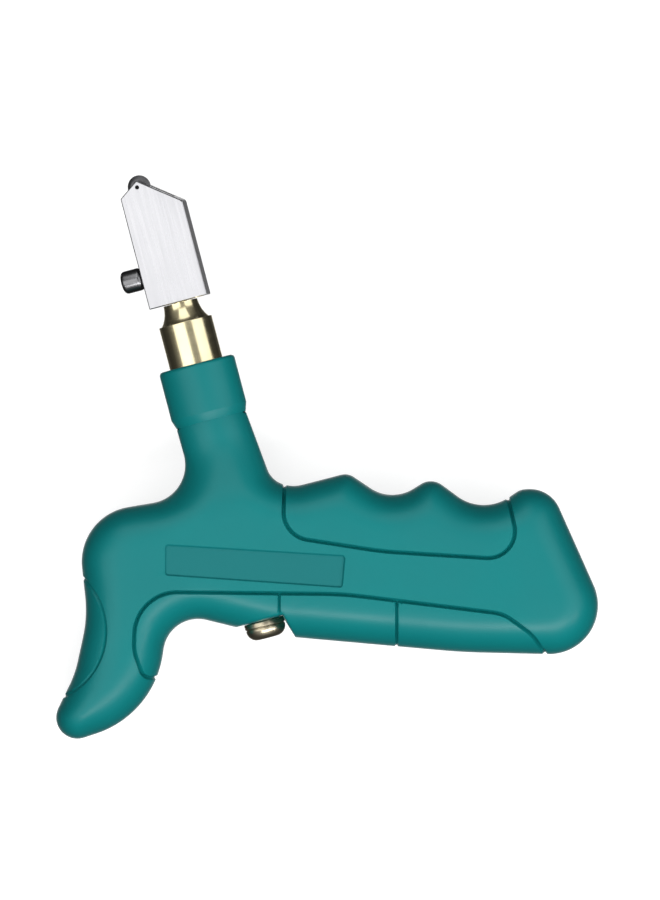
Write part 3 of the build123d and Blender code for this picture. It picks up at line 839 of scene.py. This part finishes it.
TEAL = moulded("teal_plastic", (0.0026, 0.158, 0.160), (0.0022, 0.147, 0.150), 0.38)
LABEL_TEAL = moulded("label_teal", (0.0021, 0.134, 0.138), (0.0018, 0.127, 0.132), 0.44)
BRASS = lathed("pale_brass", (0.78, 0.70, 0.46), (0.73, 0.64, 0.39), 0.18)
CAP_BRASS = lathed("washed_brass", (0.46, 0.41, 0.30), (0.43, 0.38, 0.27), 0.3)
HEAD_STEEL = ground("head_steel", (0.455, 0.455, 0.47), (0.43, 0.43, 0.445), 0.28)
CARBIDE = ground("carbide", (0.15, 0.15, 0.155), (0.10, 0.10, 0.105), 0.5)
BLACKED = lathed("black_oxide", (0.200, 0.200, 0.206), (0.170, 0.170, 0.175), 0.26)
# near-black colour for the head's slot: painted shade of the narrow slot, not a steel finish of its own
SLOT_PAINTED_SHADE = ground("slot_painted_shade", (0.012, 0.012, 0.013), (0.02, 0.02, 0.021), 0.6)
# near-black colour for the wheel's axle pin: painted shade of the hole that it fills
AXLE_PAINTED_SHADE = lathed("axle_painted_shade", (0.008, 0.008, 0.009), (0.014, 0.014, 0.015), 0.35)
ZINC = ground("zinc_plate", (0.52, 0.53, 0.55), (0.42, 0.43, 0.44), 0.35)
SPRING = lathed("spring_wire", (0.45, 0.45, 0.46), (0.36, 0.36, 0.37), 0.3)
RUBBER = soft_rubber("nitrile", (0.012, 0.012, 0.012), (0.03, 0.03, 0.03))
COTTON = braided("cotton_wick", (0.78, 0.74, 0.64), (0.5, 0.47, 0.4))

CARRIED = {
    "reservoir_tube": BRASS,
    "valve_stem": BRASS,
    "reservoir_gasket": RUBBER,
    "stem_seal": RUBBER,
    "filler_seal": RUBBER,
    "valve_spring": SPRING,
    "wick": COTTON,
    **{name: ZINC for name in frame["nodes"] if name.startswith("shell_screw")},
}
for node_name, material in CARRIED.items():
    node = frame["nodes"][node_name]
    node.data.materials.clear()
    node.data.materials.append(material)


# ---------------------------------------------------------------- handle pieces
def handle_pieces():
    """Shells and pads, cut from one rolled surface along the grooves."""
    plan, triangles, outline = handle_plan()
    tall = height(plan)
    edge_gap, _ = near(plan, outline, True)
    at_nose_end = np.abs(barrel_along(plan) - NOSE_END) < ON_EDGE
    rim = (edge_gap < RIM_TOL) & ~(at_nose_end & (np.abs(barrel_across(plan)) < NOSE_R - ON_EDGE))
    normal = surface_normals(plan)
    depth = groove_depth(plan, edge_gap)
    moved = plan - normal[:, :2] * depth[:, None]
    top = tall - normal[:, 2] * depth
    top[rim] = 0
    level = -normal[:, :2] / np.maximum(np.hypot(*normal[:, :2].T), TINY)[:, None]
    parted = moved + level * PARTING * np.clip(1 - edge_gap, 0, 1)[:, None]
    zone = zone_of(plan[triangles].mean(axis=1))
    recess = label_depth(plan)
    flat = 0 * recess

    for name in ("finger_grip", "thumb_pad", "trigger_pad", "lower_pad_front", "lower_pad_rear"):
        piece = build_zone(name, triangles[zone == name], moved, moved, top, rim, (1, -1), flat)
        if name in ("trigger_pad", "lower_pad_front"):
            cut(piece, bore_cutter())
        place(piece, "handle", name, TEAL)
    shell = triangles[zone == "shell"]
    for name, side, carved in (("left_shell", 1, recess), ("right_shell", -1, flat)):
        piece = build_zone(name, shell, moved, parted, top, rim, (side,), carved)
        cut(piece, bore_cutter(), *(screw_cutters() if side < 0 else ()))
        centre = face_table(piece, "center") / MM
        on_label = inside(centre[:, :2], LABEL_XY) & (centre[:, 2] > MID + HALF - 2 * LABEL_DEEP)
        place(piece, "handle", name, TEAL, LABEL_TEAL, on_label)


def bore_cutter():
    """The room that the reservoir, its spout and the filler cap take inside the handle."""
    foot = CAP_TOP - CUT_PAST / 2
    top = NOSE_END + CUT_PAST
    profile = [(0, foot), (SPOUT_R, foot), (SPOUT_R, BORE_FOOT), (BORE_R, BORE_FOOT), (BORE_R, top), (0, top)]
    return lathe("bore", profile, turns=BORE_TURNS)


def screw_cutters():
    """Round recesses for the heads of the shell screws, in the side that lies on the table."""
    cutters = []
    for node in sorted(frame["nodes"]):
        if node.startswith("shell_screw"):
            low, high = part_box(node)
            origin = Vector(((low[0] + high[0]) / 2, (low[1] + high[1]) / 2, low[2])) / MM
            profile = rod(SCREW_HEAD_R + SCREW_HEAD_GAP, -SCREW_SINK, SCREW_HEAD_TALL)
            cutters.append(lathe("recess", profile, origin, UP, SIDEWAYS, turns=BORE_TURNS))
    return cutters


def build_zone(name, triangles, plan, parted, top, rim, sides, recess):
    """One closed piece: its face on each side, and walls round it."""
    vertices, faces = [], []
    number = {}

    def vertex(index, level):
        """Vertex of a plan point: level 1 or -1 is a face, 0 the parting plane."""
        if rim[index]:
            level = 0
        key = (index, level)
        if key not in number:
            number[key] = len(vertices)
            lift = max(top[index] - (recess[index] if level > 0 else 0), 0) * level
            spot = plan[index] if level else parted[index]
            vertices.append((spot[0], spot[1], MID + lift))
        return number[key]

    for side in sides:
        for corners in triangles:
            faces.append(tuple(vertex(corner, side) for corner in corners))
    if len(sides) == 1:
        for corners in triangles:
            faces.append(tuple(vertex(corner, 0) for corner in reversed(corners)))
    count = {}
    for a, b, c in triangles:
        for edge in ((a, b), (b, c), (c, a)):
            key = (min(edge), max(edge))
            count[key] = count.get(key, 0) + 1
    upper, lower = (sides[0], sides[1]) if len(sides) == 2 else (sides[0], 0)
    for (a, b), times in count.items():
        if times != 1 or (rim[a] and rim[b]):
            continue
        corners = [vertex(a, upper), vertex(b, upper), vertex(b, lower), vertex(a, lower)]
        corners = tuple(dict.fromkeys(corners))
        if len(corners) > 2:
            faces.append(corners)
    return make_object(f"{name}_form", vertices, faces)


# ---------------------------------------------------------------- collar, ferrule and cap
def collar():
    """Plastic collar on the handle's nose, with a chamfered lower band."""
    piece = turned("muzzle_collar_form", [
        ((NOSE_R + SLACK, NECK_END), 0),
        ((NECK_R, NECK_END), FINE_EDGE),
        ((COLLAR_R, NECK_END + COLLAR_BAND), SOFT_EDGE),
        ((COLLAR_R, COLLAR_TOP), COLLAR_EDGE),
        ((BORE_R, COLLAR_TOP), SMALL_EDGE),
        ((BORE_R, NOSE_END + SLACK), 0),
        ((NOSE_R + SLACK, NOSE_END + SLACK), 0),
    ], COLLAR_STEP, turns=ROUND_TURNS)
    place(piece, "handle", "muzzle_collar", TEAL)


def ferrule():
    """Brass ferrule with a hollow-ground cone, chambered for the valve."""
    bend = []
    for t in np.linspace(0, 1, CONE_POINTS):
        weights = ((1 - t) * (1 - 2 * t), 4 * t * (1 - t), t * (2 * t - 1))
        bend.append(tuple(sum(weight * corner[axis] for weight, corner in zip(weights, CONE))
                          for axis in (0, 1)))
    outer = rounded([
        ((FEED_R, SHANK_FOOT), 0),
        ((SHANK_R, SHANK_FOOT), SOFT_EDGE),
        ((SHANK_R, TUBE_TOP), 0),
        ((FERRULE_R, TUBE_TOP), 0),
        ((FERRULE_R, FERRULE_SHOULDER), FERRULE_EDGE),
        (bend[0], 0),
    ], FERRULE_STEP, False)
    inner = [
        (STEM_R + SLACK, CONE[-1][1]), (STEM_R + SLACK, CHAMBER_TOP),
        (CHAMBER_R, CHAMBER_TOP), (CHAMBER_R, CHAMBER_FOOT), (FEED_R, CHAMBER_FOOT),
    ]
    profile = [*outer.tolist(), *bend[1:], *inner]
    piece = lathe("ferrule_form", profile, turns=ROUND_TURNS, sharp=CRISP_SHARP)
    place(piece, "handle", "ferrule", BRASS)


def filler_cap():
    """Domed filler cap with a grip line and a plain stand-in shank."""
    piece = turned("filler_cap_form", [
        ((0, CAP_END), 0),
        ((CAP_R - CAP_INSET, CAP_END), CAP_DOME),
        ((CAP_R - CAP_INSET, CAP_LINE - LINE_BELOW), 0),
        ((CAP_R - LINE_DEEP, CAP_LINE), FINE_EDGE),
        ((CAP_R, CAP_LINE + LINE_ABOVE), LINE_EDGE),
        ((CAP_R, CAP_TOP), CAP_EDGE),
        ((RING_R, CAP_TOP), 0),
        ((RING_R, RING_FOOT), 0),
        ((CAP_SHANK_R, RING_FOOT), 0),
        ((CAP_SHANK_R, CAP_SHANK_TOP), CAP_SHANK_EDGE),
        ((0, CAP_SHANK_TOP), 0),
    ], CAP_STEP, turns=CAP_TURNS)
    place(piece, "filler_cap", "filler_cap", CAP_BRASS)


# ---------------------------------------------------------------- head
def slab(name, outline, half, chamfer):
    """A plate in the head's plane with chamfered edges."""
    run = np.roll(outline, -1, axis=0) - np.roll(outline, 1, axis=0)
    inward = np.column_stack([-run[:, 1], run[:, 0]]) / np.hypot(*run.T)[:, None]
    small = outline + inward * chamfer
    count = len(outline)
    rows = ((small, -half), (outline, chamfer - half), (outline, half - chamfer), (small, half))
    vertices = [
        tuple(AXIS_POINT + HEAD_ACROSS * x + ALONG * y + HEAD_FRONT * depth)
        for row, depth in rows
        for x, y in row
    ]
    last = len(rows) - 1
    faces = [tuple(reversed(range(count))), tuple(range(last * count, (last + 1) * count))]
    for level in range(last):
        for index in range(count):
            after = (index + 1) % count
            faces.append((level * count + index, level * count + after,
                          (level + 1) * count + after, (level + 1) * count + index))
    return make_object(name, vertices, faces, HEAD_SHARP)


def head():
    """Plate head with its slot and holes, and the wheel and its axle in the slot."""
    piece = slab("head_block_form", rounded(HEAD_OUTLINE, HEAD_STEP, True), HEAD_HALF_THICK, HEAD_CHAMFER)
    slot = prism("slot", SLOT, AXIS_POINT, HEAD_ACROSS, HEAD_FRONT, -SLOT_HALF, SLOT_HALF)
    bore = lathe("bore", rod(STEM_R + SLACK, HEAD_BORE_FOOT, HEAD_BORE_TOP))
    axle = lathe("hole", rod(AXLE_R, -HOLE_REACH, HOLE_REACH), WHEEL_AT, HEAD_FRONT, HEAD_ACROSS)
    screw_profile = rod(SCREW_HOLE_R, SCREW_HOLE_FOOT, SCREW_HOLE_TOP)
    screw = lathe("hole", screw_profile, SCREW_AT, -HEAD_ACROSS, ALONG)
    cut(piece, slot, bore, axle, screw, sharp=HEAD_SHARP)
    # the slot's walls and floor get the second, near-black material: painted shade inside the slot
    centre = face_table(piece, "center") / MM - np.array(AXIS_POINT)
    depth = np.abs(centre @ np.array(HEAD_FRONT))
    slot_floor = (face_table(piece, "normal") @ np.array(ALONG) > SLOT_FLOOR_FACING) & (depth < SLOT_HALF)
    slot_walls = np.abs(depth - SLOT_HALF) < CHEEK_TOL
    place(piece, "cutter_head", "head_block", HEAD_STEEL, SLOT_PAINTED_SHADE, slot_walls | slot_floor)

    on_wheel = {"origin": WHEEL_AT, "axis": HEAD_FRONT, "across": HEAD_ACROSS}
    pin = turned("wheel_axle_form", [
        ((0, -AXLE_HALF), 0),
        ((PIN_R, -AXLE_HALF), FINE_EDGE),
        ((PIN_R, AXLE_HALF), FINE_EDGE),
        ((0, AXLE_HALF), 0),
    ], PIN_STEP, turns=FINE_TURNS, **on_wheel)
    # the pin is coloured near black: painted shade of the axle hole
    place(pin, "cutter_head", "wheel_axle", AXLE_PAINTED_SHADE)

    wheel = turned("cutting_wheel_form", [
        ((AXLE_R + SLACK, -WHEEL_HALF), CRISP),
        ((WHEEL_FLAT_R, -WHEEL_HALF), CRISP),
        ((WHEEL_R, 0), WHEEL_EDGE),
        ((WHEEL_FLAT_R, WHEEL_HALF), CRISP),
        ((AXLE_R + SLACK, WHEEL_HALF), CRISP),
    ], WHEEL_STEP, turns=ROUND_TURNS, sharp=CRISP_SHARP, **on_wheel)
    place(wheel, "wheel", "cutting_wheel", CARBIDE)


def lock_screw():
    """Black knob screw with a hexagon socket, standing out of the head's side."""
    piece = turned("head_lock_screw_form", [
        ((0, DOG_TIP), 0),
        ((DOG_R, DOG_TIP), SMALL_EDGE),
        ((DOG_R, DOG_ROOT), 0),
        ((SCREW_SHANK_R, DOG_ROOT), SMALL_EDGE),
        ((SCREW_SHANK_R, SCREW_IN), FINE_EDGE),
        ((SCREW_R, SCREW_IN), SCREW_ROUND),
        ((SCREW_R, SCREW_OUT), SCREW_ROUND),
        ((0, SCREW_OUT), 0),
    ], SCREW_STEP, origin=SCREW_AT, axis=-HEAD_ACROSS, across=ALONG, turns=SCREW_TURNS)
    hexagon = rod(HEX_R, SCREW_OUT - HEX_DEEP, SCREW_OUT + CUT_PAST)
    socket = lathe("socket", hexagon, SCREW_AT, -HEAD_ACROSS, ALONG, turns=HEX_TURNS)
    cut(piece, socket)
    place(piece, "lock_screw", "head_lock_screw", BLACKED)


handle_pieces()
collar()
ferrule()
filler_cap()
head()
lock_screw()

# ---------------------------------------------------------------- floor, lights, camera
FLOOR_HALF, FLOOR_GAP = 1.5, 0.0001
FLOOR_GREY, FLOOR_GLOW = (0.42, 0.42, 0.42), 0.72
DOME_R, DOME_GLOW = 9.0, 0.93
SKY = (                 # how high in the sky, 0 straight down and 1 straight up, and how bright
    (0.0, 1.6),
    (0.015, 1.5),
    (0.032, 0.12),
    (0.2, 0.03),
    (0.5, 0.05),
    (0.65, 0.16),
    (0.85, 0.34),
    (1.0, 0.36),
)
LAMPS = [               # name, size, place, target and power
    ("left_box", (0.6, 0.8), (-0.42, -0.06, 0.70), (-0.01, 0.03, 0), 2.6),
    ("right_box", (0.7, 0.8), (0.62, 0.16, 0.52), (0.0, 0.03, 0), 2.6),
    ("low_box", (0.8, 0.22), (0.16, -0.50, 0.74), (0.02, 0.0, 0), 6.4),
    ("heel_box", (0.2, 0.2), (0.78, -0.34, 0.56), (0.05, 0.0, 0), 1.6),
    ("top_box", (0.6, 0.6), (-0.13, 0.56, 0.52), (-0.01, 0.05, 0), 1.6),
]
LENS, SENSOR = 500.0, 36.0
VIEW_TALL = 211.5       # millimetres that the picture's height spans
VIEW_CENTRE = (19.0, 27.0)


def dim_box(name, size, location, target, power):
    """A soft rectangular light aimed at a place."""
    data = bpy.data.lights.new(name, "AREA")
    data.shape = "RECTANGLE"
    data.size, data.size_y = size
    data.energy = power
    lamp = bpy.data.objects.new(name, data)
    lamp.location = location
    lamp.rotation_euler = (Vector(target) - Vector(location)).to_track_quat("-Z", "Y").to_euler()
    lamp.visible_camera = False
    bpy.context.scene.collection.objects.link(lamp)


def glow(mesh, colour, strength):
    """A surface that is partly lit and partly glows, so that shadows on it stay faint."""
    material, tree, shader, coordinates = new_material("paper")
    shader.inputs["Base Color"].default_value = (*colour, 1)
    shader.inputs["Roughness"].default_value = 0.9
    shader.inputs["Specular IOR Level"].default_value = 0.0
    shader.inputs["Emission Color"].default_value = (1, 1, 1, 1)
    shader.inputs["Emission Strength"].default_value = strength
    mesh.materials.append(material)


def studio():
    """White sheet in a white dome, a graded sky for the metal to reflect, and soft lights."""
    mesh = bpy.data.meshes.new("floor")
    corners = [(x * FLOOR_HALF, y * FLOOR_HALF, 0) for x, y in ((-1, -1), (1, -1), (1, 1), (-1, 1))]
    mesh.from_pydata(corners, [], [(0, 1, 2, 3)])
    floor = bpy.data.objects.new("floor", mesh)
    glow(mesh, FLOOR_GREY, FLOOR_GLOW)
    floor.location.z = -FLOOR_GAP
    floor.visible_glossy = False
    floor.visible_diffuse = False

    mesh = bpy.data.meshes.new("backdrop")
    shape = bmesh.new()
    bmesh.ops.create_uvsphere(shape, u_segments=64, v_segments=32, radius=DOME_R)
    shape.to_mesh(mesh)
    shape.free()
    backdrop = bpy.data.objects.new("backdrop", mesh)
    glow(mesh, (0, 0, 0), DOME_GLOW)
    for switch in ("visible_glossy", "visible_diffuse", "visible_shadow", "visible_transmission"):
        setattr(backdrop, switch, False)
    for obj in (floor, backdrop):
        bpy.context.scene.collection.objects.link(obj)

    world = bpy.data.worlds.new("sky")
    bpy.context.scene.world = world
    world.use_nodes = True
    tree = world.node_tree
    source = tree.nodes.new("ShaderNodeTexCoord")
    split = tree.nodes.new("ShaderNodeSeparateXYZ")
    scaled = tree.nodes.new("ShaderNodeMapRange")
    scaled.inputs["From Min"].default_value = -1.0
    ramp = tree.nodes.new("ShaderNodeValToRGB")
    tree.links.new(source.outputs["Generated"], split.inputs["Vector"])
    tree.links.new(split.outputs["Z"], scaled.inputs["Value"])
    tree.links.new(scaled.outputs["Result"], ramp.inputs["Fac"])
    stops = ramp.color_ramp.elements
    stops[0].position, stops[0].color = SKY[0][0], (SKY[0][1],) * 3 + (1,)
    stops[1].position, stops[1].color = SKY[-1][0], (SKY[-1][1],) * 3 + (1,)
    for position, level in SKY[1:-1]:
        stops.new(position).color = (level, level, level, 1)
    tree.links.new(ramp.outputs["Color"], tree.nodes["Background"].inputs["Color"])
    tree.nodes["Background"].inputs["Strength"].default_value = 1.0

    for lamp in LAMPS:
        dim_box(*lamp)


def camera():
    """Straight above the tool and far away, as the picture shows no convergence."""
    data = bpy.data.cameras.new("camera")
    data.lens = LENS
    data.sensor_width = SENSOR
    eye = bpy.data.objects.new("camera", data)
    centre = Vector((*VIEW_CENTRE, MID))
    eye.location = (centre + UP * VIEW_TALL * LENS / SENSOR) * MM
    bpy.context.scene.collection.objects.link(eye)
    bpy.context.scene.camera = eye


studio()
camera()
bpy.context.scene.view_settings.view_transform = "Standard"
